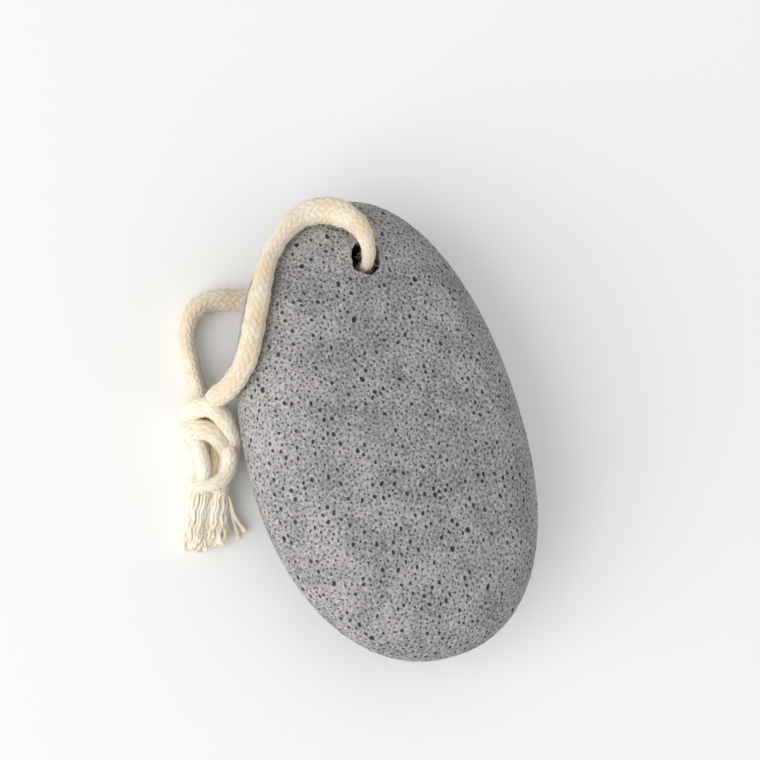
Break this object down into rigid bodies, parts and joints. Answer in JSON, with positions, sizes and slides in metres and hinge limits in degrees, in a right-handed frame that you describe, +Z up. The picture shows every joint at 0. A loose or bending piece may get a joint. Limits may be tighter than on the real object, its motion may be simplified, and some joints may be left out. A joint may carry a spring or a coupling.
{
  "type": "pumice stone",
  "caption": "Oval pumice stone for rubbing hard skin, full of small pores, with a hole at its narrow end and a knotted hanging loop of braided cotton cord.",
  "frame": {"origin": "under the middle of the stone, on the surface that the stone lies on", "axes": "+Y along the stone towards its narrow end with the hole, +X across the stone, +Z up out of its flat working face"},
  "size_m": [0.0884, 0.115, 0.0369],
  "materials": {
    "pumice": "sawn and rubbed foamed stone, matt, open pores",
    "cotton": "unbleached cotton, braided, soft and slightly fuzzy"
  },
  "bodies": {
    "root": {"stone": "pumice", "cord": "cotton", "knot": "cotton", "frayed_end_left": "cotton", "frayed_end_right": "cotton"}
  },
  "joints": []
}
